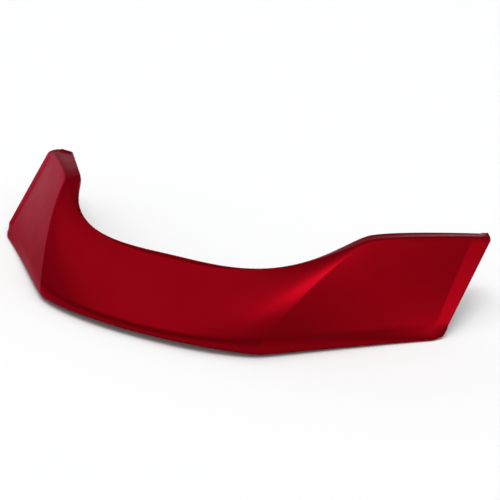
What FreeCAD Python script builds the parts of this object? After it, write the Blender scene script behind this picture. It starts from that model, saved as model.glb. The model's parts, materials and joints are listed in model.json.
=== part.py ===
import FreeCAD, Part
import math
import os

# Racing rear wing: a painted wrap-around spoiler shell with bonded inner panels, ribs, foam rods,
# potted studs, gaskets, tape and seals. Millimetres. +X to the right, +Y towards the front of the
# car, +Z up. The shapes are drawn with x = 0 in the symmetry plane and z = 0 just under the middle
# of the rear lip, then moved so that the centre stud's seat on the car is the origin.

Vector = FreeCAD.Vector

# Wall thicknesses and gaps
SKIN_WALL = 3.0
PANEL_WALL = 2.5
BOND_GAP = 1.2          # adhesive line between the skin and the inner panel
FIT_GAP = 0.3           # gap around the pieces that lie inside the cavity

# Rolled edges: how far each edge's curve keeps its first direction
LIP_PULL = 14.0         # rear lip, a roll of about 14 mm radius
FRONT_PULL = 4.0        # narrow roll along the middle of the front edge
SHOULDER_PULL = 24.0    # wide roll along the top of each blade

# Direction in which every stud, pin and plug goes into the car: forward and down at 45 degrees
MOUNT_AXIS = Vector(0, math.sqrt(0.5), -math.sqrt(0.5))

# Where the gaskets of the three kinds of stud meet the car, on the right half
CENTRE_SEAT = Vector(0, -266, 48)
INNER_SEAT = Vector(222, -248, 56)
OUTER_SEAT = Vector(478, -18, 62)
PIN_SEAT = Vector(560, 84, 78)
DRAIN_POINT = Vector(118, -342, 0)

# Studs with a perforated disc head, potted in hardpoint blocks
STUD_RADIUS = 3.0
STUD_FREE_LENGTH = 20.0
STUD_CHAMFER = 1.0
SHANK_RADIUS = 4.0
HEAD_RADIUS = 12.0
HEAD_THICKNESS = 2.0
HEAD_HOLES = 6
HEAD_HOLE_RADIUS = 1.6
HEAD_HOLE_CIRCLE = 8.5
HEAD_DEPTH = {"centre": 20.0, "inner": 26.0, "outer": 34.0}

PAD_RADIUS = 15.0
GASKET_THICKNESS = 4.0
GASKET_HOLE_RADIUS = 4.3
HARDPOINT_RADIUS = 21.0
REACH = 90.0            # longer than any distance across the cavity

# Locating pins and drain plugs
PIN_RADIUS = 4.0
PIN_LENGTH = 12.0
PIN_FLANGE_RADIUS = 10.0
PLUG_RADIUS = 4.0
PLUG_HOLE_RADIUS = 4.2
PLUG_FLANGE_RADIUS = 7.0
PLUG_FLANGE_THICKNESS = 1.5
PLUG_LENGTH = 5.0

# Ribs, foam rods, tape and seal
RIB_THICKNESS = 2.5
RIB_HOLE_RADIUS = 7.0
CENTRE_RIB = Vector(86, -270, 60)
MIDDLE_RIB = Vector(158, -260, 65)
BLADE_RIBS = {"rib_ridge": 0.2, "rib_blade": 0.5, "rib_tip": 0.93}   # shares of a blade's length
LIP_ROD_RADIUS = 6.0
LIP_ROD_INSET = 8.0
LIP_ROD_END_SHARE = 0.03    # stretch of the lip left empty beside each ridge
LIP_ROD_TIP_SHARE = 0.88    # where each blade's rod ends, short of the tip
TAPE_THICKNESS = 1.2
TAPE_BAND = (0.03, 0.13)
TAPE_END_GAP = 0.03
TAPE_LIFT = 0.05            # keeps the tape's surface clear of the panel's
SEAL_THICKNESS = 1.5

# The seal's rear face, from its top down: how far behind the front edge, how far under the skin
SEAL_PROFILE = [(1.6, 1.2), (1.6, 3.0), (1.4, 5.0), (0.4, 7.0)]

# The inner panel starts under the front roll and ends on the return flange
PANEL_START = 0.62
PANEL_END = 0.62
PANEL_ROLL_SHARE = 0.15
PANEL_RIDGE_BOW = Vector(-4, -8, 18)
PANEL_JOINT_GAP = 0.009   # share of a span left open at each ridge joint

# Stretch of the face, from crest to knee, that ribs and hardpoints may fill
CAVITY_BAND = (0.02, 0.92)

# ---- The skin's network of edges and creases, right half ----
# Five rows run along the span: front edge, crest (the crease under the front roll), knee (where the
# rear lip starts to roll), toe (underside of the lip) and heel (end of the lip's return flange).
# Four columns run from front to rear: centre, ridge, side crease and side edge.

FRONT = [Vector(0, -209, 116), Vector(384, -12, 167), Vector(561, 196, 127), Vector(580, 180, 138)]
CREST = [Vector(0, -218, 109), Vector(391, -66, 169), Vector(567, 113, 142), Vector(601, 143, 138)]
KNEE = [Vector(0, -366, 26), Vector(283, -316, 35), Vector(560, -68, 21), Vector(583, -57, 16)]
TOE = [Vector(0, -364, 2), Vector(273, -321, -3), Vector(558, -90, -8), Vector(579, -72, -2)]
HEEL = [Vector(0, -327, 5), Vector(259, -288, 0), Vector(541, -63, -4), Vector(570, -50, 3)]

# How each row bends between its points. An empty list is a straight run. Every row but the knee
# runs smoothly through the ridge: its point there is midway between the bends on either side.
FRONT_BENDS = [
    [Vector(145, -209, 116), Vector(305, -225, 110), Vector(341, -59, 167)],
    [Vector(427, 35, 167)],
    [Vector(565, 200, 129)],
]
CREST_BENDS = [
    [Vector(122, -218, 109), Vector(271, -219, 111), Vector(360, -99, 168)],
    [Vector(422, -33, 170)],
    [],
]
KNEE_BENDS = [[Vector(149, -366, 26), Vector(217, -353, 30)], [Vector(424, -202, 27)], []]
TOE_BENDS = [
    [Vector(144, -364, 2), Vector(204, -340, 1), Vector(252, -333, -2)],
    [Vector(294, -309, -4), Vector(418, -192, -5)],
    [Vector(570, -84, -6)],
]
HEEL_BENDS = [
    [Vector(136, -327, 5), Vector(193, -306, 4), Vector(238, -300, 1)],
    [Vector(280, -276, -1), Vector(402, -162, -1)],
    [],
]

# The ridge between crest and knee bends towards this point
RIDGE_BOW = Vector(345, -197, 141)

# Level direction in which the lip's nose points at the centre, the ridge and the side crease
NOSE = [Vector(0, -1, 0), Vector(0.49, -0.87, 0), Vector(0.66, -0.75, 0)]

# The side edge's own bends: the cut front corner, straight down the side, round the rear corner
SIDE_EDGE_BENDS = [[Vector(596, 160, 144)], [], [Vector(583, -59, 6), Vector(579, -67, 0)], []]

SPAN_DEGREE = 4
CHORD_DEGREE = 3

# How a patch blends from its left edge to its right edge: smooth at the symmetry plane, then even
SPAN_SHARES = [
    [0, 0, 0.5, 0.85, 1],
    [0, 0.25, 0.5, 0.75, 1],
    [0, 0.25, 0.5, 0.75, 1],
]


def mirrored(point):
    return Vector(-point.x, point.y, point.z)


def unit(vector):
    return vector * (1.0 / vector.Length)


def mix(first, second, share):
    """The point that lies a share of the way from the first to the second."""
    return first * (1 - share) + second * share


def bezier(points, degree):
    """The same Bezier curve written with degree + 1 poles."""
    curve = Part.BezierCurve()
    curve.setPoles(points)
    if len(points) - 1 < degree:
        curve.increase(degree)
    return curve.getPoles()


def chain(nodes, bends, degree):
    """Poles of the curves that join the nodes one after another, shared ends written once."""
    poles = [nodes[0]]
    for start, bend, end in zip(nodes[:-1], bends, nodes[1:]):
        poles += bezier([start] + bend + [end], degree)[1:]
    return poles


def cross_section(index, bow, roll_pull):
    """Front-to-rear poles at one column: front roll, face, rear lip and return flange."""
    front, crest, knee, toe, heel = (row[index] for row in (FRONT, CREST, KNEE, TOE, HEEL))
    rearward = Vector(crest.x - front.x, crest.y - front.y, 0)
    roll = [front + unit(rearward) * roll_pull, crest + unit(crest - bow) * roll_pull]
    lip = [knee + unit(knee - bow) * LIP_PULL, toe + NOSE[index] * LIP_PULL]
    return chain([front, crest, knee, toe, heel], [roll, [bow], lip, []], CHORD_DEGREE)


def face_middle(index):
    return mix(CREST[index], KNEE[index], 0.5)


def filled(top, bottom, left, right, shares):
    """A patch's poles from the poles of its four edges; shares blend from the left edge to the right."""
    patch = []
    for i in range(len(left)):
        down = i / (len(left) - 1)
        line = []
        for j, along in enumerate(shares):
            across = mix(left[i], right[i], along)
            lengthwise = mix(top[j], bottom[j], down)
            corners = mix(mix(top[0], top[-1], along), mix(bottom[0], bottom[-1], along), down)
            line.append(across + lengthwise - corners)
        patch.append(line)
    return patch


def half_skin_grid():
    """Poles of the outer surface of the right half, rows from the front edge to the heel."""
    rows = [
        chain(FRONT, FRONT_BENDS, SPAN_DEGREE),
        chain(CREST, CREST_BENDS, SPAN_DEGREE),
        chain(KNEE, KNEE_BENDS, SPAN_DEGREE),
        chain(TOE, TOE_BENDS, SPAN_DEGREE),
        chain(HEEL, HEEL_BENDS, SPAN_DEGREE),
    ]
    columns = [
        cross_section(0, face_middle(0), FRONT_PULL),
        cross_section(1, RIDGE_BOW, SHOULDER_PULL),
        cross_section(2, face_middle(2), SHOULDER_PULL),
        chain([row[3] for row in (FRONT, CREST, KNEE, TOE, HEEL)], SIDE_EDGE_BENDS, CHORD_DEGREE),
    ]
    grid = [[None] * (SPAN_DEGREE * 3 + 1) for _ in range(CHORD_DEGREE * 4 + 1)]
    for i in range(4):
        for j, shares in enumerate(SPAN_SHARES):
            down = slice(CHORD_DEGREE * i, CHORD_DEGREE * (i + 1) + 1)
            along = slice(SPAN_DEGREE * j, SPAN_DEGREE * (j + 1) + 1)
            edges = (rows[i][along], rows[i + 1][along], columns[j][down], columns[j + 1][down])
            for line, patch_line in zip(grid[down], filled(*edges, shares)):
                line[along] = patch_line
    return grid


def whole(half):
    """A right half's poles joined to their mirror image, from the left end to the right end."""
    return [[mirrored(pole) for pole in reversed(line[1:])] + line for line in half]


def transposed(grid):
    return [list(line) for line in zip(*grid)]


def patches(grid):
    """Each patch between creases: its first row, its first column and its poles."""
    for i in range(0, len(grid) - 1, CHORD_DEGREE):
        for j in range(0, len(grid[0]) - 1, SPAN_DEGREE):
            yield i, j, [line[j:j + SPAN_DEGREE + 1] for line in grid[i:i + CHORD_DEGREE + 1]]


def surface_from(poles):
    """One smooth surface whose pole net is given."""
    down = len(poles) - 1
    along = len(poles[0]) - 1
    surface = Part.BSplineSurface()
    surface.buildFromPolesMultsKnots(
        poles, [down + 1] * 2, [along + 1] * 2, [0, 1], [0, 1], False, False, down, along
    )
    return surface


def curve_through(points, degree):
    """Poles of the curves through evenly stepped points, degree steps to a curve."""
    poles = [points[0]]
    for k in range(0, len(points) - 1, degree):
        curve = Part.BezierCurve()
        curve.interpolate([[point] for point in points[k:k + degree + 1]])
        poles += curve.getPoles()[1:]
    return poles


def deeper(grid, depth):
    """The surface moved inwards by depth, with the same wall on both sides of each crease."""
    points = [[None] * len(line) for line in grid]
    normals = [[[] for _ in line] for line in grid]
    for i, j, poles in patches(grid):
        surface = surface_from(poles)
        for a in range(CHORD_DEGREE + 1):
            for b in range(SPAN_DEGREE + 1):
                place = (a / CHORD_DEGREE, b / SPAN_DEGREE)
                points[i + a][j + b] = surface.value(*place)
                normals[i + a][j + b].append(surface.normal(*place))
    for i, line in enumerate(normals):
        for j, meeting in enumerate(line):
            mean = sum(meeting, Vector()) * (1.0 / len(meeting))
            points[i][j] -= mean * (depth / mean.dot(mean))
    moved_lines = [curve_through(line, SPAN_DEGREE) for line in points]
    return transposed([curve_through(line, CHORD_DEGREE) for line in transposed(moved_lines)])


def trimmed(lines, degree, start, end):
    """Lines of poles cut short: from start in their first curve to end in their last."""
    cut_lines = []
    for line in lines:
        poles = list(line)
        last = len(poles) - degree - 1
        if last == 0:
            poles = part_of_curve(poles, start, end)
        else:
            poles[:degree + 1] = part_of_curve(poles[:degree + 1], start, 1.0)
            poles[last:] = part_of_curve(poles[last:], 0.0, end)
        cut_lines.append(poles)
    return cut_lines


def part_of_curve(poles, start, end):
    curve = Part.BezierCurve()
    curve.setPoles(poles)
    curve.segment(start, end)
    return curve.getPoles()


def chord_trimmed(grid, start, end):
    return transposed(trimmed(transposed(grid), CHORD_DEGREE, start, end))


def columns_between(grid, first, last):
    """The columns from first to last, counted from the symmetry plane, right side positive."""
    centre = len(grid[0]) // 2
    return [line[centre + first:centre + last + 1] for line in grid]


def rim_faces(upper, lower, degree):
    """Straight walls between the matching edges of two surfaces."""
    walls = []
    for k in range(0, len(upper) - 1, degree):
        walls.append(surface_from([upper[k:k + degree + 1], lower[k:k + degree + 1]]).toShape())
    return walls


def solid_between(upper, lower):
    """A closed solid between two surfaces that have the same layout of poles."""
    faces = [surface_from(poles).toShape() for grid in (upper, lower) for _, _, poles in patches(grid)]
    upper_columns = transposed(upper)
    lower_columns = transposed(lower)
    for end in (0, -1):
        faces += rim_faces(upper[end], lower[end], SPAN_DEGREE)
        faces += rim_faces(upper_columns[end], lower_columns[end], CHORD_DEGREE)
    sewn = Part.Compound(faces)
    sewn.sewShape()
    return Part.makeSolid(Part.Shell(sewn.Faces))


def sheet(grid, depth, thickness):
    """A wall of even thickness that starts at a depth below a surface."""
    return solid_between(deeper(grid, depth), deeper(grid, depth + thickness))


# ---- Inner panel ----

def panel_grid(skin):
    """Poles of the inner panel's cavity side: straight behind the face, up to the skin at the sides."""
    front_part = chord_trimmed(deeper(skin, SKIN_WALL + BOND_GAP), PANEL_START, 1.0)
    front_part = columns_between(front_part, 0, SPAN_DEGREE * 3)
    flange = chord_trimmed(deeper(skin, SKIN_WALL + BOND_GAP + PANEL_WALL), 0.0, PANEL_END)
    flange_line = columns_between(flange, 0, SPAN_DEGREE * 3)[-1]
    rows = 2 * CHORD_DEGREE + 1
    half = [[None] * len(flange_line) for _ in range(rows)]
    for j in range(len(flange_line)):
        side_share = max(0.0, j / SPAN_DEGREE - 2)
        front = front_part[0][j]
        rear = mix(flange_line[j], front_part[rows - 1][j], side_share)
        for i in range(rows):
            down = panel_share(i)
            straight = mix(front, rear, down) + PANEL_RIDGE_BOW * (4 * down * (1 - down) * ridge_share(j))
            half[i][j] = mix(straight, front_part[i][j], side_share)
    return whole(half)


def panel_share(i):
    """How far down the panel's chord row i lies: a short stretch under the front roll, then the rest."""
    if i <= CHORD_DEGREE:
        return PANEL_ROLL_SHARE * i / CHORD_DEGREE
    return PANEL_ROLL_SHARE + (1 - PANEL_ROLL_SHARE) * (i / CHORD_DEGREE - 1)


def ridge_share(j):
    """1 at the ridge, falling to 0 at the symmetry plane and at the side crease."""
    return max(0.0, 1 - abs(j / SPAN_DEGREE - 1)) ** 2


def panel_section(panel, first, last, start, end):
    """A stretch of the panel between two columns, with its ends cut back."""
    return trimmed(columns_between(panel, first, last), SPAN_DEGREE, start, end)


def largest(shape):
    """The biggest solid that a cut or an overlap leaves."""
    return max(shape.Solids, key=lambda solid: solid.Volume)


def drilled(solid, seats, radius):
    """A solid with a hole for each stud that passes through it."""
    for seat in seats:
        solid = largest(solid.cut(rod(radius, seat - MOUNT_AXIS * REACH, MOUNT_AXIS, 2 * REACH)))
    return solid


# ---- Pieces that follow the mounting direction ----

def rod(radius, start, direction, length):
    return Part.makeCylinder(radius, length, start, direction)


def stud(seat, depth):
    """A threaded stud on a perforated disc head; the seat is where its free end begins."""
    head_base = seat - MOUNT_AXIS * (depth + HEAD_THICKNESS)
    head = rod(HEAD_RADIUS, head_base, MOUNT_AXIS, HEAD_THICKNESS)
    sideways = Vector(1, 0, 0)
    upwards = MOUNT_AXIS.cross(sideways)
    for k in range(HEAD_HOLES):
        turn = 2 * math.pi * k / HEAD_HOLES
        offset = (sideways * math.cos(turn) + upwards * math.sin(turn)) * HEAD_HOLE_CIRCLE
        head = head.cut(rod(HEAD_HOLE_RADIUS, head_base + offset, MOUNT_AXIS, HEAD_THICKNESS))
    shank = rod(SHANK_RADIUS, seat - MOUNT_AXIS * depth, MOUNT_AXIS, depth)
    thread = rod(STUD_RADIUS, seat, MOUNT_AXIS, STUD_FREE_LENGTH)
    return largest(head.fuse([shank, thread, chamfered_end(seat, STUD_RADIUS, STUD_FREE_LENGTH)]))


def chamfered_end(seat, radius, length):
    start = seat + MOUNT_AXIS * length
    return Part.makeCone(radius, radius - STUD_CHAMFER, STUD_CHAMFER, start, MOUNT_AXIS)


def foot(seat, radius, end_gap, below_panel):
    """A round foot cut to the panel's slope, ending end_gap short of the seat."""
    body = rod(radius, seat - MOUNT_AXIS * REACH, MOUNT_AXIS, REACH - end_gap)
    return largest(body.common(below_panel))


def pad(seat, below_panel):
    bore = rod(SHANK_RADIUS + FIT_GAP, seat - MOUNT_AXIS * REACH, MOUNT_AXIS, REACH)
    return largest(foot(seat, PAD_RADIUS, GASKET_THICKNESS, below_panel).cut(bore))


def gasket(seat):
    start = seat - MOUNT_AXIS * GASKET_THICKNESS
    ring = rod(PAD_RADIUS, start, MOUNT_AXIS, GASKET_THICKNESS)
    return largest(ring.cut(rod(GASKET_HOLE_RADIUS, start, MOUNT_AXIS, GASKET_THICKNESS)))


def hardpoint(seat, stud_shape, cavity):
    """A block that fills the cavity round a stud's head."""
    body = rod(HARDPOINT_RADIUS, seat - MOUNT_AXIS * REACH, MOUNT_AXIS, REACH)
    return largest(body.common(cavity).cut(stud_shape))


def locating_pin(seat, below_panel):
    pin = rod(PIN_RADIUS, seat, MOUNT_AXIS, PIN_LENGTH)
    base = foot(seat, PIN_FLANGE_RADIUS, 0.0, below_panel)
    return largest(base.fuse([pin, chamfered_end(seat, PIN_RADIUS, PIN_LENGTH)]))


# ---- Drain plugs in the return flange ----

def drain_axis():
    """Straight down out of the return flange at the centre."""
    return unit(Vector(0, HEEL[0].z - TOE[0].z, TOE[0].y - HEEL[0].y))


def drain_plug(point):
    stem = rod(PLUG_RADIUS, point - drain_axis() * PLUG_LENGTH, drain_axis(), PLUG_LENGTH)
    return largest(stem.fuse(rod(PLUG_FLANGE_RADIUS, point, drain_axis(), PLUG_FLANGE_THICKNESS)))


def drain_hole(point):
    return rod(PLUG_HOLE_RADIUS, point - drain_axis() * PLUG_LENGTH, drain_axis(), 2 * PLUG_LENGTH)


# ---- Ribs and foam rods inside the cavity ----

def rib(point, along, cavity):
    """A web across the cavity at right angles to the direction along, with one lightening hole."""
    turn = math.degrees(math.atan2(along.y, along.x))
    corner = Vector(-RIB_THICKNESS / 2, -2 * REACH, -2 * REACH)
    slab = Part.makeBox(RIB_THICKNESS, 4 * REACH, 4 * REACH, corner)
    slab.rotate(Vector(), Vector(0, 0, 1), turn)
    web = largest(slab.translated(point).common(cavity))
    middle = web.CenterOfMass
    return largest(web.cut(rod(RIB_HOLE_RADIUS, middle - along * REACH, along, 2 * REACH)))


def lip_rod_point(index):
    return mix(KNEE[index], TOE[index], 0.5) - NOSE[index] * LIP_ROD_INSET


def foam_rod(poles, start, end):
    """A round rod along a stretch of a curve."""
    path = Part.BezierCurve()
    path.setPoles(part_of_curve(poles, start, end))
    circle = Part.Circle(path.value(0), path.tangent(0)[0], LIP_ROD_RADIUS)
    return Part.Wire(path.toShape()).makePipeShell([Part.Wire(circle.toShape())], True, False)


def centre_lip_rod():
    ridge = lip_rod_point(1)
    bend = lip_rod_point(0) * 2 - Vector(0, ridge.y, ridge.z)
    return foam_rod([mirrored(ridge), bend, ridge], LIP_ROD_END_SHARE, 1 - LIP_ROD_END_SHARE)


def blade_lip_rod():
    bend = mix(KNEE_BENDS[1][0], TOE_BENDS[1][1], 0.5) - mix(NOSE[1], NOSE[2], 0.5) * LIP_ROD_INSET
    return foam_rod([lip_rod_point(1), bend, lip_rod_point(2)], LIP_ROD_END_SHARE, LIP_ROD_TIP_SHARE)


# ---- Front edge seal ----

def seal_grid(skin):
    """The rear face of a rubber lip that hangs just behind the front edge and hooks forward."""
    middle = SPAN_DEGREE * 3
    underside = deeper(skin, SKIN_WALL + FIT_GAP)
    rows = [[] for _ in SEAL_PROFILE]
    for j in range(middle, middle + SPAN_DEGREE * 2 + 1):
        rearward = underside[1][j] - underside[0][j]
        rearward = unit(Vector(rearward.x, rearward.y, 0))
        for row, (back, drop) in zip(rows, SEAL_PROFILE):
            row.append(underside[0][j] + rearward * back - Vector(0, 0, drop))
    return whole(rows)


def both_sides(name, shape):
    """The right-hand piece and its mirror image, each with its own name."""
    mirror_image = shape.mirror(Vector(), Vector(1, 0, 0))
    return {name + "_right": shape, name + "_left": mirror_image}


def lining_volumes(skin, panel):
    """The space under the inner panel, and the part of the cavity that ribs and blocks may fill."""
    underside = deeper(panel, PANEL_WALL + FIT_GAP)
    below = [[pole + MOUNT_AXIS * REACH for pole in line] for line in underside]
    side = 2 * SPAN_DEGREE
    roof = deeper(skin, SKIN_WALL + FIT_GAP)[CHORD_DEGREE:2 * CHORD_DEGREE + 1]
    floor = deeper(panel, -FIT_GAP)[CHORD_DEGREE:]
    layers = [columns_between(chord_trimmed(grid, *CAVITY_BAND), -side, side) for grid in (roof, floor)]
    return solid_between(underside, below), solid_between(*layers)


def add_shells(pieces, skin, panel):
    """The painted outer skin and the three panels bonded inside it."""
    ridge = SPAN_DEGREE
    edge = 3 * SPAN_DEGREE
    outer_skin = sheet(skin, 0, SKIN_WALL)
    for point in (DRAIN_POINT, mirrored(DRAIN_POINT)):
        outer_skin = largest(outer_skin.cut(drain_hole(point)))
    pieces["outer_skin"] = outer_skin
    hole = SHANK_RADIUS + FIT_GAP
    centre = sheet(panel_section(panel, -ridge, ridge, PANEL_JOINT_GAP, 1 - PANEL_JOINT_GAP), 0, PANEL_WALL)
    pieces["inner_panel_centre"] = drilled(centre, [CENTRE_SEAT, INNER_SEAT, mirrored(INNER_SEAT)], hole)
    blade = sheet(panel_section(panel, ridge, edge, PANEL_JOINT_GAP, 1), 0, PANEL_WALL)
    pieces.update(both_sides("inner_panel", drilled(blade, [OUTER_SEAT], hole)))


def add_mountings(pieces, below_panel, cavity):
    """Studs, the blocks they are potted in, and the pads and gaskets they pass through."""
    centre = stud(CENTRE_SEAT, HEAD_DEPTH["centre"])
    inner = stud(INNER_SEAT, HEAD_DEPTH["inner"])
    outer = stud(OUTER_SEAT, HEAD_DEPTH["outer"])
    pieces["stud_centre"] = centre
    pieces.update(both_sides("stud_inner", inner))
    pieces.update(both_sides("stud_outer", outer))
    pieces["hardpoint_centre"] = hardpoint(CENTRE_SEAT, centre, cavity)
    pieces.update(both_sides("hardpoint_inner", hardpoint(INNER_SEAT, inner, cavity)))
    pieces.update(both_sides("hardpoint_outer", hardpoint(OUTER_SEAT, outer, cavity)))
    pieces["pad_centre"] = pad(CENTRE_SEAT, below_panel)
    pieces.update(both_sides("pad_inner", pad(INNER_SEAT, below_panel)))
    pieces.update(both_sides("pad_outer", pad(OUTER_SEAT, below_panel)))
    seats = [CENTRE_SEAT, INNER_SEAT, mirrored(INNER_SEAT), OUTER_SEAT, mirrored(OUTER_SEAT)]
    pieces["stud_gaskets"] = Part.Compound([gasket(seat) for seat in seats])
    pieces.update(both_sides("locating_pin", locating_pin(PIN_SEAT, below_panel)))


def add_stiffeners(pieces, cavity):
    """Ribs between the two shells and foam rods inside the rear lip."""
    pieces.update(both_sides("rib_centre", rib(CENTRE_RIB, Vector(1, 0, 0), cavity)))
    pieces.update(both_sides("rib_middle", rib(MIDDLE_RIB, Vector(1, 0, 0), cavity)))
    along = unit(Vector(KNEE[2].x - KNEE[1].x, KNEE[2].y - KNEE[1].y, 0))
    for name, share in BLADE_RIBS.items():
        point = mix(face_middle(1), face_middle(2), share)
        pieces.update(both_sides(name, rib(point, along, cavity)))
    pieces["lip_rod_centre"] = centre_lip_rod()
    pieces.update(both_sides("lip_rod", blade_lip_rod()))


def add_trim(pieces, skin, panel):
    """Tape on the panel's front margin, the drain plugs and the front seal, notched round the panel."""
    ridge = SPAN_DEGREE
    side = 2 * SPAN_DEGREE
    margin = chord_trimmed(deeper(panel, PANEL_WALL)[CHORD_DEGREE:], *TAPE_BAND)
    centre = panel_section(margin, -ridge, ridge, TAPE_END_GAP, 1 - TAPE_END_GAP)
    blade = panel_section(margin, ridge, side, TAPE_END_GAP, 1 - TAPE_END_GAP)
    pieces["tape_centre"] = sheet(centre, TAPE_LIFT, TAPE_THICKNESS)
    pieces.update(both_sides("tape", sheet(blade, TAPE_LIFT, TAPE_THICKNESS)))
    seal = sheet(seal_grid(skin), 0, SEAL_THICKNESS)
    pieces["front_edge_seal"] = largest(seal.cut(pieces["inner_panel_centre"]))
    pieces.update(both_sides("drain_plug", drain_plug(DRAIN_POINT)))


def main():
    skin = whole(half_skin_grid())
    panel = panel_grid(skin)
    below_panel, cavity = lining_volumes(skin, panel)
    pieces = {}
    add_shells(pieces, skin, panel)
    add_mountings(pieces, below_panel, cavity)
    add_stiffeners(pieces, cavity)
    add_trim(pieces, skin, panel)
    os.makedirs("parts", exist_ok=True)
    for name, shape in pieces.items():
        shape.translated(-CENTRE_SEAT).exportStep("parts/" + name + ".step")


main()
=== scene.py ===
import json
import math

import bmesh
import bpy
import numpy as np
from mathutils import Matrix, Vector


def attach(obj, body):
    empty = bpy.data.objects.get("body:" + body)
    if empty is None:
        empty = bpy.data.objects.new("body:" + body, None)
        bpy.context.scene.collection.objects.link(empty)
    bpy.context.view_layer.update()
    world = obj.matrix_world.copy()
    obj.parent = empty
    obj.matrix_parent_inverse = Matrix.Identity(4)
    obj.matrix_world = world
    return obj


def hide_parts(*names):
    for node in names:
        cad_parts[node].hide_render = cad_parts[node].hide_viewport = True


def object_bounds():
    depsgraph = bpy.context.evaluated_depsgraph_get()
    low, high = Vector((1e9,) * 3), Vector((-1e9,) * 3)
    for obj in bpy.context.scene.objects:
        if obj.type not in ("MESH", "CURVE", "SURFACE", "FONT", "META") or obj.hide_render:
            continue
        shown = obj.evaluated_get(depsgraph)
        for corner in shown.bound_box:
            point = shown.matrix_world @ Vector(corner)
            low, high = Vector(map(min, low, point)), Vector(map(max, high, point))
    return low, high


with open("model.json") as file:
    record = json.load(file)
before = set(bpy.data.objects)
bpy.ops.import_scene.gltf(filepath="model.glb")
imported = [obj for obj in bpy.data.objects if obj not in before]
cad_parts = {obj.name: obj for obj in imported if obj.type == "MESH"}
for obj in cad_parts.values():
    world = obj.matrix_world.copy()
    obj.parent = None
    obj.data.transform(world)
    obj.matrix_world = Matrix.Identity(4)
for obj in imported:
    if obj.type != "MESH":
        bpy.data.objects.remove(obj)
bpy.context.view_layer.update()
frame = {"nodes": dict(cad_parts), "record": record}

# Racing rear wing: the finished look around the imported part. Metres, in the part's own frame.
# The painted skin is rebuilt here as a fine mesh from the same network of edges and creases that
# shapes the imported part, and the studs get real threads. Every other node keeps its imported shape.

# ---- Skin network, right half, in millimetres ----
# Drawn with x = 0 in the symmetry plane and z = 0 under the rear lip. Five rows run along the span:
# front edge, crest, knee, toe and heel. Four columns run from front to rear: centre, ridge, side
# crease and side edge. The points in these rows weren't chosen by hand: a least-squares fit to the
# outline in the reference picture found them, and they were rounded to whole millimetres.

CENTRE_SEAT = np.array([0, -266, 48])   # the frame's origin in this drawing
SKIN_WALL = 3.0

FRONT = [(0, -209, 116), (384, -12, 167), (561, 196, 127), (580, 180, 138)]
CREST = [(0, -218, 109), (391, -66, 169), (567, 113, 142), (601, 143, 138)]
KNEE = [(0, -366, 26), (283, -316, 35), (560, -68, 21), (583, -57, 16)]
TOE = [(0, -364, 2), (273, -321, -3), (558, -90, -8), (579, -72, -2)]
HEEL = [(0, -327, 5), (259, -288, 0), (541, -63, -4), (570, -50, 3)]

# How each row bends between its points. An empty list is a straight run. Every row but the knee
# runs smoothly through the ridge: its point there is midway between the bends on either side.
FRONT_BENDS = [[(145, -209, 116), (305, -225, 110), (341, -59, 167)], [(427, 35, 167)], [(565, 200, 129)]]
CREST_BENDS = [[(122, -218, 109), (271, -219, 111), (360, -99, 168)], [(422, -33, 170)], []]
KNEE_BENDS = [[(149, -366, 26), (217, -353, 30)], [(424, -202, 27)], []]
TOE_BENDS = [
    [(144, -364, 2), (204, -340, 1), (252, -333, -2)],
    [(294, -309, -4), (418, -192, -5)],
    [(570, -84, -6)],
]
HEEL_BENDS = [
    [(136, -327, 5), (193, -306, 4), (238, -300, 1)],
    [(280, -276, -1), (402, -162, -1)],
    [],
]
SIDE_EDGE_BENDS = [[(596, 160, 144)], [], [(583, -59, 6), (579, -67, 0)], []]

RIDGE_BOW = (345, -197, 141)   # the ridge between crest and knee bends towards this point
NOSE = [(0, -1, 0), (0.49, -0.87, 0), (0.66, -0.75, 0)]   # where the lip points at three columns
LIP_PULL = 14.0
FRONT_PULL = 4.0
SHOULDER_PULL = 24.0
SPAN_DEGREE = 4
CHORD_DEGREE = 3
SPAN_SHARES = [[0, 0, 0.5, 0.85, 1], [0, 0.25, 0.5, 0.75, 1], [0, 0.25, 0.5, 0.75, 1]]

# Mesh steps across each patch: front roll, face, lip, flange, and side, blade, centre
CHORD_STEPS = [10, 30, 12, 5]
SPAN_STEPS = [8, 56, 56]
CREASE_SOFTNESS = 0.004   # half width of the rounding along the ridges and side creases
CREASE_SEGMENTS = 4
EDGE_SOFTNESS = 0.0008    # rounding of the skin's cut edges

# ---- Studs, in metres ----
STUD_AXIS = Vector((0, math.sqrt(0.5), -math.sqrt(0.5)))
INNER_SEAT = (0.222, 0.018, 0.008)
OUTER_SEAT = (0.478, 0.248, 0.014)
HEAD_DEPTH = {"centre": 0.020, "inner": 0.026, "outer": 0.034}
HEAD_RADIUS = 0.012
HEAD_THICKNESS = 0.002
HEAD_HOLES = 6
HEAD_HOLE_RADIUS = 0.0016
HEAD_HOLE_CIRCLE = 0.0085
HEAD_SIDES = 48
SHANK_RADIUS = 0.004
SHANK_CHAMFER = 0.0004
STUD_LENGTH = 0.020
THREAD_RADIUS = 0.003
THREAD_PITCH = 0.001
THREAD_DEPTH = 0.0006
TIP_CHAMFER = 0.001
RINGS_PER_TURN = 6
ROD_SIDES = 32
MERGE_DISTANCE = 0.000001

# ---- Paint ----
PAINT_RED = (0.22, 0.001, 0.005)
PAINT_GLANCING = (0.9, 0.49, 0.54)   # tint of what the paint mirrors at glancing angles
PAINT_ROUGHNESS = 0.36
PAINT_METALLIC = 0.9

# ---- Finishes ----
NOISE_SPAN = (0.3, 0.7)    # most of a noise's values lie between these
WEAR_SPAN = (0.98, 0.8)    # how well rounded and true normals agree where wear starts and is full

# ---- Camera, behind the car and to its right, looking down; a fit to the picture placed it ----
CAMERA_PLACE = (1.256, -1.920, 1.149)
CAMERA_AZIMUTH = 28.3
CAMERA_ELEVATION = 24.6
CAMERA_LENS = 85
SENSOR_WIDTH = 36

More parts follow.
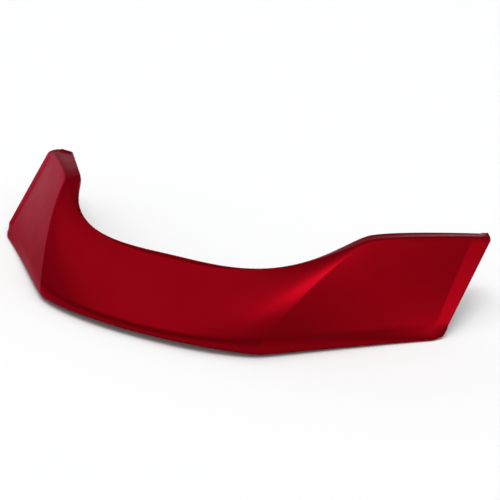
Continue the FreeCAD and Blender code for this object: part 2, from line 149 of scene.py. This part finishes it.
# ---- Light ----
WHITE = (1, 1, 1)
COOL = (0.8, 0.9, 1)

# Name, azimuth and elevation it shines from, softness (all three in degrees), strength, colour.
# Azimuth 0 is behind the car, 90 is on its right.
LIGHTS = [
    ("low_left", -115, 8, 40, 0.42, COOL),
    ("left", -90, 42, 50, 0.2, WHITE),
    ("high_left", -90, 66, 40, 0.2, WHITE),
    ("right", 75, 40, 40, 0.24, WHITE),
    ("key_right", 75, 66, 35, 0.52, WHITE),
    ("top", 20, 84, 30, 0.85, WHITE),
    ("high_front", 180, 68, 45, 0.35, WHITE),
]
WORLD_STRENGTH = 0.42

# ---- Floor ----
FLOOR_REACH = 12.0
FLOOR_GAP = 0.0005    # below the part's lowest point
FLOOR_GREY = 0.9


def row_of(points):
    return np.array(points, float)


def mix(first, second, share):
    """The point that lies a share of the way from the first to the second."""
    return first * (1 - share) + second * share


def unit(vector):
    return vector / np.linalg.norm(vector, axis=-1, keepdims=True)


# ---- Bezier curves and patches ----

def weights(degree, steps):
    """How much each pole of a Bezier curve counts at each parameter in steps."""
    k = np.arange(degree + 1)
    counts = np.array([math.comb(degree, i) for i in k])
    steps = np.asarray(steps, float)[:, None]
    return counts * steps ** k * (1 - steps) ** (degree - k)


def slopes(degree, steps):
    """The same for the curve's direction."""
    lower = weights(degree - 1, steps) * degree
    edge = np.zeros((len(lower), 1))
    return np.hstack([edge, lower]) - np.hstack([lower, edge])


def poles_through(points, degree):
    """Poles of the Bezier curve that passes through evenly stepped points."""
    return np.linalg.solve(weights(degree, np.linspace(0, 1, degree + 1)), points)


def bezier(points, degree):
    """The same Bezier curve written with degree + 1 poles."""
    even = np.linspace(0, 1, degree + 1)
    return poles_through(weights(len(points) - 1, even) @ np.array(points, float), degree)


def chain(nodes, bends, degree):
    """Poles of the curves that join the nodes one after another, shared ends written once."""
    poles = [np.array(nodes[:1], float)]
    for start, bend, end in zip(nodes[:-1], bends, nodes[1:]):
        poles.append(bezier([start, *bend, end], degree)[1:])
    return np.vstack(poles)


def cross_section(index, bow, roll_pull):
    """Front-to-rear poles at one column: front roll, face, rear lip and return flange."""
    front, crest, knee, toe, heel = (row_of(row[index]) for row in (FRONT, CREST, KNEE, TOE, HEEL))
    rearward = (crest - front) * (1, 1, 0)
    roll = [front + unit(rearward) * roll_pull, crest + unit(crest - bow) * roll_pull]
    lip = [knee + unit(knee - bow) * LIP_PULL, toe + row_of(NOSE[index]) * LIP_PULL]
    return chain([front, crest, knee, toe, heel], [roll, [bow], lip, []], CHORD_DEGREE)


def face_middle(index):
    return mix(row_of(CREST[index]), row_of(KNEE[index]), 0.5)


def filled(top, bottom, left, right, shares):
    """A patch's poles from the poles of its four edges; shares blend from the left edge to the right."""
    along = np.array(shares)[None, :, None]
    down = np.linspace(0, 1, len(left))[:, None, None]
    across = mix(left[:, None], right[:, None], along)
    lengthwise = mix(top[None], bottom[None], down)
    corners = mix(mix(top[0], top[-1], along), mix(bottom[0], bottom[-1], along), down)
    return across + lengthwise - corners


def half_skin():
    """Poles of the outer surface of the right half, rows from the front edge to the heel."""
    nodes = (FRONT, CREST, KNEE, TOE, HEEL)
    bends = (FRONT_BENDS, CREST_BENDS, KNEE_BENDS, TOE_BENDS, HEEL_BENDS)
    rows = [chain(row, bend, SPAN_DEGREE) for row, bend in zip(nodes, bends)]
    columns = [
        cross_section(0, face_middle(0), FRONT_PULL),
        cross_section(1, row_of(RIDGE_BOW), SHOULDER_PULL),
        cross_section(2, face_middle(2), SHOULDER_PULL),
        chain([row[3] for row in nodes], SIDE_EDGE_BENDS, CHORD_DEGREE),
    ]
    grid = np.zeros((CHORD_DEGREE * 4 + 1, SPAN_DEGREE * 3 + 1, 3))
    for i in range(4):
        for j, shares in enumerate(SPAN_SHARES):
            down = slice(CHORD_DEGREE * i, CHORD_DEGREE * (i + 1) + 1)
            along = slice(SPAN_DEGREE * j, SPAN_DEGREE * (j + 1) + 1)
            grid[down, along] = filled(
                rows[i][along], rows[i + 1][along], columns[j][down], columns[j + 1][down], shares
            )
    return grid


def whole(half):
    """A right half's poles joined to their mirror image, from the left end to the right end."""
    return np.hstack([half[:, :0:-1] * (-1, 1, 1), half])


def patches(grid):
    """Each patch between creases: its first row, its first column and its poles."""
    for i in range(0, len(grid) - 1, CHORD_DEGREE):
        for j in range(0, len(grid[0]) - 1, SPAN_DEGREE):
            yield i, j, grid[i:i + CHORD_DEGREE + 1, j:j + SPAN_DEGREE + 1]


def on_patch(poles, down_weights, along_weights):
    return np.einsum("ai,bj,ijk->abk", down_weights, along_weights, poles)


def deeper(grid, depth):
    """The surface moved inwards by depth, with the same wall on both sides of each crease."""
    points = np.zeros_like(grid)
    normals = np.zeros_like(grid)
    meeting = np.zeros(grid.shape[:2] + (1,))
    down_steps = np.linspace(0, 1, CHORD_DEGREE + 1)
    along_steps = np.linspace(0, 1, SPAN_DEGREE + 1)
    down = weights(CHORD_DEGREE, down_steps)
    along = weights(SPAN_DEGREE, along_steps)
    for i, j, poles in patches(grid):
        part = (slice(i, i + CHORD_DEGREE + 1), slice(j, j + SPAN_DEGREE + 1))
        rearward = on_patch(poles, slopes(CHORD_DEGREE, down_steps), along)
        sideward = on_patch(poles, down, slopes(SPAN_DEGREE, along_steps))
        points[part] = on_patch(poles, down, along)
        normals[part] += unit(np.cross(rearward, sideward))
        meeting[part] += 1
    mean = normals / meeting
    points -= mean * depth / np.sum(mean * mean, axis=-1, keepdims=True)
    moved = np.zeros_like(grid)
    for i, j, patch_points in patches(points):
        part = (slice(i, i + CHORD_DEGREE + 1), slice(j, j + SPAN_DEGREE + 1))
        by_row = np.linalg.solve(down, patch_points.reshape(CHORD_DEGREE + 1, -1))
        by_row = by_row.reshape(patch_points.shape).transpose(1, 0, 2)
        by_column = np.linalg.solve(along, by_row.reshape(SPAN_DEGREE + 1, -1))
        moved[part] = by_column.reshape(by_row.shape).transpose(1, 0, 2)
    return moved


def fine_points(grid):
    """Mesh points all over a surface, in metres, in the part's frame."""
    span_steps = SPAN_STEPS + SPAN_STEPS[::-1]
    points = np.zeros((sum(CHORD_STEPS) + 1, sum(span_steps) + 1, 3))
    for i, j, poles in patches(grid):
        row = i // CHORD_DEGREE
        column = j // SPAN_DEGREE
        top = sum(CHORD_STEPS[:row])
        left = sum(span_steps[:column])
        down = weights(CHORD_DEGREE, np.linspace(0, 1, CHORD_STEPS[row] + 1))
        along = weights(SPAN_DEGREE, np.linspace(0, 1, span_steps[column] + 1))
        part = (slice(top, top + CHORD_STEPS[row] + 1), slice(left, left + span_steps[column] + 1))
        points[part] = on_patch(poles, down, along)
    return (points - CENTRE_SEAT) / 1000


# ---- Mesh building ----

def new_object(name, points, faces, material, smooth=True):
    mesh = bpy.data.meshes.new(name)
    mesh.from_pydata([tuple(point) for point in points], [], faces)
    mesh.polygons.foreach_set("use_smooth", [smooth] * len(mesh.polygons))
    mesh.materials.append(material)
    mesh.validate()
    mesh.update()
    piece = bpy.data.objects.new(name, mesh)
    bpy.context.scene.collection.objects.link(piece)
    return piece


def grid_faces(rows, columns, first):
    """Faces of a grid of points whose first point has the number first."""
    faces = []
    for row in range(rows - 1):
        for column in range(columns - 1):
            corner = first + row * columns + column
            faces.append((corner, corner + columns, corner + columns + 1, corner + 1))
    return faces


def border_of(rows, columns):
    """Numbers of a grid's border points, once round."""
    top = list(range(columns))
    right = [row * columns + columns - 1 for row in range(1, rows)]
    bottom = [(rows - 1) * columns + column for column in range(columns - 2, -1, -1)]
    left = [row * columns for row in range(rows - 2, 0, -1)]
    return top + right + bottom + left


def crease_columns():
    """Columns of the fine mesh that lie on a side crease or on a ridge."""
    side, blade, centre = SPAN_STEPS
    left = [side, side + blade]
    return left + [2 * (side + blade + centre) - column for column in left]


def mark_bevels(mesh, rows, columns):
    """Weights for the bevel: full along the creases, small along the outer surface's cut edges."""
    creases = set(crease_columns())
    weight = mesh.attributes.new("bevel_weight_edge", "FLOAT", "EDGE")
    for edge in mesh.edges:
        first, second = edge.vertices
        if max(first, second) >= rows * columns:
            continue
        row_a, column_a = divmod(first, columns)
        row_b, column_b = divmod(second, columns)
        on_rows = row_a == row_b and row_a in (0, rows - 1)
        on_sides = column_a == column_b and column_a in (0, columns - 1)
        if on_rows or on_sides:
            weight.data[edge.index].value = EDGE_SOFTNESS / CREASE_SOFTNESS
        elif column_a == column_b and column_a in creases:
            weight.data[edge.index].value = 1.0


def add_skin(material):
    """The painted moulding: a wall of even thickness with softened creases and edges."""
    poles = whole(half_skin())
    outer = fine_points(poles)
    inner = fine_points(deeper(poles, SKIN_WALL))
    rows, columns = outer.shape[:2]
    count = rows * columns
    faces = grid_faces(rows, columns, 0)
    faces += [face[::-1] for face in grid_faces(rows, columns, count)]
    border = border_of(rows, columns)
    for here, there in zip(border, border[1:] + border[:1]):
        faces.append((here, there, there + count, here + count))
    points = np.vstack([outer.reshape(-1, 3), inner.reshape(-1, 3)])
    piece = new_object("painted_skin", points, faces, material)
    mark_bevels(piece.data, rows, columns)
    bevel = piece.modifiers.new("soft creases", "BEVEL")
    bevel.limit_method = "WEIGHT"
    bevel.width = CREASE_SOFTNESS
    bevel.segments = CREASE_SEGMENTS
    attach(piece, "root")
    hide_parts("outer_skin")


# ---- Studs ----

def rod_rings(depth):
    """Rings along a stud's rod: how far along it they are, their radius and their share of thread."""
    foot = -depth - HEAD_THICKNESS / 2
    rings = [(foot, SHANK_RADIUS), (-SHANK_CHAMFER, SHANK_RADIUS), (0, SHANK_RADIUS - SHANK_CHAMFER)]
    rings += [(place, THREAD_RADIUS) for place in np.arange(0, STUD_LENGTH, THREAD_PITCH / RINGS_PER_TURN)]
    rings += [(STUD_LENGTH, THREAD_RADIUS), (STUD_LENGTH + TIP_CHAMFER, THREAD_RADIUS - TIP_CHAMFER)]
    along, radius = np.array(rings).T
    thread = np.clip(np.minimum(along, STUD_LENGTH - along) / THREAD_PITCH, 0, 1)
    return along, radius, thread


def rod_mesh(depth):
    """A stud's rod with its helical thread, closed at both ends, along its own Z axis."""
    along, radius, thread = rod_rings(depth)
    turn = np.linspace(0, 2 * math.pi, ROD_SIDES, endpoint=False)
    phase = (along[:, None] / THREAD_PITCH - turn[None] / (2 * math.pi)) % 1
    groove = np.abs(2 * phase - 1) * thread[:, None] * THREAD_DEPTH
    reach = radius[:, None] - groove
    height = np.broadcast_to(along[:, None], reach.shape)
    points = np.stack([reach * np.cos(turn), reach * np.sin(turn), height], axis=-1).reshape(-1, 3)
    faces = []
    for ring in range(len(along) - 1):
        for side in range(ROD_SIDES):
            here = ring * ROD_SIDES + side
            there = ring * ROD_SIDES + (side + 1) % ROD_SIDES
            faces.append((here, there, there + ROD_SIDES, here + ROD_SIDES))
    faces.append(tuple(range(ROD_SIDES))[::-1])
    faces.append(tuple(range(len(points) - ROD_SIDES, len(points))))
    mesh = bpy.data.meshes.new("rod")
    mesh.from_pydata([tuple(point) for point in points], [], faces)
    return mesh


def evenly_round(radius, count):
    """Points spread evenly round a circle."""
    turns = [2 * math.pi * k / count for k in range(count)]
    return [(radius * math.cos(turn), radius * math.sin(turn)) for turn in turns]


def add_circle(curve, radius, x, y):
    """A round outline in a flat curve."""
    spline = curve.splines.new("POLY")
    spline.points.add(HEAD_SIDES - 1)
    for point, (across, up) in zip(spline.points, evenly_round(radius, HEAD_SIDES)):
        point.co = (x + across, y + up, 0, 1)
    spline.use_cyclic_u = True


def head_mesh(depth):
    """The perforated disc at a stud's foot, as a filled flat curve given its thickness."""
    curve = bpy.data.curves.new("head", "CURVE")
    curve.dimensions = "2D"
    curve.fill_mode = "BOTH"
    curve.extrude = HEAD_THICKNESS / 2
    add_circle(curve, HEAD_RADIUS, 0, 0)
    for x, y in evenly_round(HEAD_HOLE_CIRCLE, HEAD_HOLES):
        add_circle(curve, HEAD_HOLE_RADIUS, x, y)
    outline = bpy.data.objects.new("head", curve)
    bpy.context.scene.collection.objects.link(outline)
    mesh = bpy.data.meshes.new_from_object(outline)
    bpy.data.objects.remove(outline)
    mesh.transform(Matrix.Translation((0, 0, -depth - HEAD_THICKNESS / 2)))
    return mesh


def add_stud(node, seat, depth, material):
    """A threaded stud with its disc head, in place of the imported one."""
    body = bmesh.new()
    for mesh in (rod_mesh(depth), head_mesh(depth)):
        body.from_mesh(mesh)
    bmesh.ops.remove_doubles(body, verts=body.verts, dist=MERGE_DISTANCE)
    across = Vector((1, 0, 0))
    place = Matrix((across, STUD_AXIS.cross(across), STUD_AXIS)).transposed().to_4x4()
    place.translation = seat
    body.transform(place)
    mesh = bpy.data.meshes.new("threaded_" + node)
    body.to_mesh(mesh)
    body.free()
    mesh.materials.clear()
    mesh.materials.append(material)
    piece = bpy.data.objects.new("threaded_" + node, mesh)
    bpy.context.scene.collection.objects.link(piece)
    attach(piece, "root")
    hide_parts(node)


def add_studs(material):
    add_stud("stud_centre", (0, 0, 0), HEAD_DEPTH["centre"], material)
    for side, sign in (("right", 1), ("left", -1)):
        inner = (sign * INNER_SEAT[0], INNER_SEAT[1], INNER_SEAT[2])
        outer = (sign * OUTER_SEAT[0], OUTER_SEAT[1], OUTER_SEAT[2])
        add_stud("stud_inner_" + side, inner, HEAD_DEPTH["inner"], material)
        add_stud("stud_outer_" + side, outer, HEAD_DEPTH["outer"], material)


# ---- Shader nodes ----

def parts_of(material):
    """A material's node tree and its shader."""
    tree = material.node_tree
    return tree, tree.nodes["Principled BSDF"]


def node_material(name, colour, roughness, **constants):
    """A node material whose shader has one colour so far; constants are other inputs of the shader."""
    material = bpy.data.materials.new(name)
    material.use_nodes = True
    shader = parts_of(material)[1]
    shader.inputs["Base Color"].default_value = (*colour, 1)
    shader.inputs["Roughness"].default_value = roughness
    for label, value in constants.items():
        shader.inputs[label.replace("_", " ")].default_value = value
    return material


def noise(tree, scale, stretch=(1, 1, 1)):
    """A soft random value from 0 to 1 through the whole object; scale is in waves per metre."""
    place = tree.nodes.new("ShaderNodeTexCoord")
    mapping = tree.nodes.new("ShaderNodeMapping")
    mapping.inputs["Scale"].default_value = stretch
    texture = tree.nodes.new("ShaderNodeTexNoise")
    texture.inputs["Scale"].default_value = scale
    tree.links.new(place.outputs["Object"], mapping.inputs["Vector"])
    tree.links.new(mapping.outputs["Vector"], texture.inputs["Vector"])
    return texture.outputs["Fac"]


def cells(tree, scale):
    """Small round cells, as in foam; scale is in cells per metre."""
    place = tree.nodes.new("ShaderNodeTexCoord")
    texture = tree.nodes.new("ShaderNodeTexVoronoi")
    texture.inputs["Scale"].default_value = scale
    tree.links.new(place.outputs["Object"], texture.inputs["Vector"])
    return texture.outputs["Distance"]


def ranged(tree, value, start, end, low, high):
    """The value, moved so that start gives low and end gives high."""
    remap = tree.nodes.new("ShaderNodeMapRange")
    remap.inputs["From Min"].default_value = start
    remap.inputs["From Max"].default_value = end
    remap.inputs["To Min"].default_value = low
    remap.inputs["To Max"].default_value = high
    tree.links.new(value, remap.inputs["Value"])
    return remap.outputs["Result"]


def edges(tree, reach, most):
    """A share that is at its most along sharp edges and 0 away from them; reach is in metres."""
    rounded = tree.nodes.new("ShaderNodeBevel")
    rounded.inputs["Radius"].default_value = reach
    true_normal = tree.nodes.new("ShaderNodeNewGeometry")
    agreement = tree.nodes.new("ShaderNodeVectorMath")
    agreement.operation = "DOT_PRODUCT"
    tree.links.new(rounded.outputs["Normal"], agreement.inputs[0])
    tree.links.new(true_normal.outputs["Normal"], agreement.inputs[1])
    return ranged(tree, agreement.outputs["Value"], *WEAR_SPAN, 0, most)


def blended(tree, share, first, second):
    """Colour that goes from the first to the second as the share goes from 0 to 1."""
    mixer = tree.nodes.new("ShaderNodeMix")
    mixer.data_type = "RGBA"
    tree.links.new(share, mixer.inputs["Factor"])
    colour_inputs = [socket for socket in mixer.inputs if socket.type == "RGBA"]
    for socket, colour in zip(colour_inputs, (first, second)):
        if isinstance(colour, tuple):
            socket.default_value = (*colour, 1)
        else:
            tree.links.new(colour, socket)
    return next(socket for socket in mixer.outputs if socket.type == "RGBA")


def vary_colour(material, colour, *, scale, spread, wear, worn, reach=0.0015):
    """Patches a little darker and lighter than the colour, and edges worn to another colour."""
    tree, shader = parts_of(material)
    patchy = ranged(tree, noise(tree, scale), *NOISE_SPAN, 0, 1)
    darker = tuple(part * (1 - spread) for part in colour)
    lighter = tuple(part * (1 + spread) for part in colour)
    varied = blended(tree, patchy, darker, lighter)
    finished = blended(tree, edges(tree, reach, wear), varied, worn)
    tree.links.new(finished, shader.inputs["Base Color"])


def vary_roughness(material, *, scale, low, high, stretch=(1, 1, 1)):
    """Patches that shine a little more or less."""
    tree, shader = parts_of(material)
    value = ranged(tree, noise(tree, scale, stretch), *NOISE_SPAN, low, high)
    tree.links.new(value, shader.inputs["Roughness"])


def add_relief(material, height, depth):
    """Fine relief in the surface; depth is in metres."""
    tree, shader = parts_of(material)
    bump = tree.nodes.new("ShaderNodeBump")
    bump.inputs["Distance"].default_value = depth
    tree.links.new(height, bump.inputs["Height"])
    tree.links.new(bump.outputs["Normal"], shader.inputs["Normal"])


# ---- Materials, one for each slot of the record ----

def red_paint():
    """Deep metallic red with a slight orange peel."""
    material = node_material(
        "red_paint",
        PAINT_RED,
        PAINT_ROUGHNESS,
        Metallic=PAINT_METALLIC,
        Specular_IOR_Level=0,
        Specular_Tint=(*PAINT_GLANCING, 1),
    )
    vary_colour(material, PAINT_RED, scale=7, spread=0.03, wear=0.1, worn=(0.5, 0.05, 0.06))
    vary_roughness(material, scale=18, low=PAINT_ROUGHNESS - 0.02, high=PAINT_ROUGHNESS + 0.03)
    add_relief(material, noise(material.node_tree, 420), depth=0.000008)
    return material


def black_plastic():
    """Moulded plastic with a fine spark-eroded grain."""
    colour = (0.022, 0.022, 0.024)
    material = node_material("black_plastic", colour, 0.55)
    vary_colour(material, colour, scale=12, spread=0.15, wear=0.5, worn=(0.09, 0.09, 0.095))
    vary_roughness(material, scale=40, low=0.48, high=0.66)
    add_relief(material, noise(material.node_tree, 1400), depth=0.00006)
    return material


def rib_plastic():
    """Plain moulded plastic with faint flow marks."""
    colour = (0.05, 0.05, 0.054)
    material = node_material("rib_plastic", colour, 0.5)
    vary_colour(material, colour, scale=20, spread=0.12, wear=0.4, worn=(0.13, 0.13, 0.135))
    vary_roughness(material, scale=60, low=0.42, high=0.58, stretch=(1, 1, 4))
    add_relief(material, noise(material.node_tree, 160), depth=0.00004)
    return material


def potting_block():
    """Cast resin, slightly cloudy."""
    colour = (0.34, 0.24, 0.12)
    material = node_material("potting_block", colour, 0.35)
    vary_colour(material, colour, scale=45, spread=0.2, wear=0.3, worn=(0.55, 0.46, 0.3))
    vary_roughness(material, scale=80, low=0.28, high=0.45)
    add_relief(material, noise(material.node_tree, 220), depth=0.0001)
    return material


def foam(name, colour, cell_scale, depth):
    """Closed-cell foam: small round cells."""
    material = node_material(name, colour, 0.9)
    paler = tuple(min(1, part * 1.5) for part in colour)
    vary_colour(material, colour, scale=60, spread=0.15, wear=0.2, worn=paler)
    vary_roughness(material, scale=150, low=0.82, high=0.96)
    add_relief(material, cells(material.node_tree, cell_scale), depth)
    return material


def stud_steel():
    """Zinc-plated steel with turning marks round the rod."""
    colour = (0.6, 0.6, 0.58)
    material = node_material("stud_steel", colour, 0.3, Metallic=1)
    vary_colour(material, colour, scale=120, spread=0.1, wear=0.5, worn=(0.8, 0.8, 0.78), reach=0.0004)
    vary_roughness(material, scale=300, low=0.22, high=0.42)
    add_relief(material, noise(material.node_tree, 900, stretch=(0.3, 1, 1)), depth=0.00002)
    return material


def rubber(name, colour, roughness):
    """Soft rubber with a dusty bloom and a fine moulded texture."""
    material = node_material(name, colour, roughness, Sheen_Weight=0.15, Sheen_Roughness=0.5)
    vary_colour(material, colour, scale=50, spread=0.25, wear=0.3, worn=(0.08, 0.08, 0.08), reach=0.0006)
    vary_roughness(material, scale=90, low=roughness - 0.08, high=roughness + 0.08)
    add_relief(material, noise(material.node_tree, 1100), depth=0.00004)
    return material


def pin_nylon():
    """Natural nylon: milky, with light passing a little way in."""
    colour = (0.7, 0.68, 0.6)
    material = node_material("pin_nylon", colour, 0.4, Subsurface_Weight=0.2, Subsurface_Scale=0.002)
    vary_colour(material, colour, scale=80, spread=0.05, wear=0.3, worn=(0.85, 0.84, 0.8), reach=0.0006)
    vary_roughness(material, scale=120, low=0.34, high=0.48)
    add_relief(material, noise(material.node_tree, 500), depth=0.00003)
    return material


def all_materials():
    return {
        "red_paint": red_paint(),
        "black_plastic": black_plastic(),
        "rib_plastic": rib_plastic(),
        "potting_block": potting_block(),
        "foam_rod": foam("foam_rod", (0.6, 0.54, 0.38), 700, 0.0002),
        "stud_steel": stud_steel(),
        "gasket_foam": foam("gasket_foam", (0.03, 0.03, 0.033), 1100, 0.00015),
        "tape_foam": foam("tape_foam", (0.22, 0.22, 0.23), 1600, 0.00008),
        "seal_rubber": rubber("seal_rubber", (0.014, 0.014, 0.014), 0.6),
        "pin_nylon": pin_nylon(),
        "plug_rubber": rubber("plug_rubber", (0.02, 0.02, 0.02), 0.65),
    }


def dress_nodes(materials):
    """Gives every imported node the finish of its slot."""
    for part in frame["record"]["subparts"]:
        node = frame["nodes"][part["node"]]
        node.data.materials.clear()
        node.data.materials.append(materials[part["material_slot"]])


# ---- Room, light and camera ----

def direction(azimuth, elevation):
    """Unit vector from the middle of the scene towards that azimuth and elevation, in degrees."""
    turn, rise = math.radians(azimuth), math.radians(elevation)
    return Vector((math.sin(turn) * math.cos(rise), -math.cos(turn) * math.cos(rise), math.sin(rise)))


def add_lights():
    for name, azimuth, elevation, softness, strength, colour in LIGHTS:
        light = bpy.data.lights.new(name, "SUN")
        light.energy = strength
        light.angle = math.radians(softness)
        light.color = colour
        lamp = bpy.data.objects.new(name, light)
        lamp.rotation_euler = direction(azimuth, elevation).to_track_quat("Z", "Y").to_euler()
        bpy.context.scene.collection.objects.link(lamp)


def add_world():
    world = bpy.data.worlds.new("soft room")
    world.use_nodes = True
    background = world.node_tree.nodes["Background"]
    background.inputs["Color"].default_value = (1, 1, 1, 1)
    background.inputs["Strength"].default_value = WORLD_STRENGTH
    bpy.context.scene.world = world
    bpy.context.scene.view_settings.view_transform = "Standard"


def add_floor():
    material = node_material("pale_floor", (FLOOR_GREY, FLOOR_GREY, FLOOR_GREY), 0.9)
    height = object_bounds()[0].z - FLOOR_GAP
    corners = [(x * FLOOR_REACH, y * FLOOR_REACH, height) for x, y in ((-1, -1), (1, -1), (1, 1), (-1, 1))]
    floor = new_object("floor", corners, [(0, 1, 2, 3)], material, smooth=False)


def add_camera():
    data = bpy.data.cameras.new("camera")
    data.lens = CAMERA_LENS
    data.sensor_width = SENSOR_WIDTH
    camera = bpy.data.objects.new("camera", data)
    camera.location = CAMERA_PLACE
    camera.rotation_euler = direction(CAMERA_AZIMUTH, CAMERA_ELEVATION).to_track_quat("Z", "Y").to_euler()
    bpy.context.scene.collection.objects.link(camera)
    bpy.context.scene.camera = camera


materials = all_materials()
dress_nodes(materials)
add_skin(materials["red_paint"])
add_studs(materials["stud_steel"])
add_world()
add_lights()
add_floor()
add_camera()
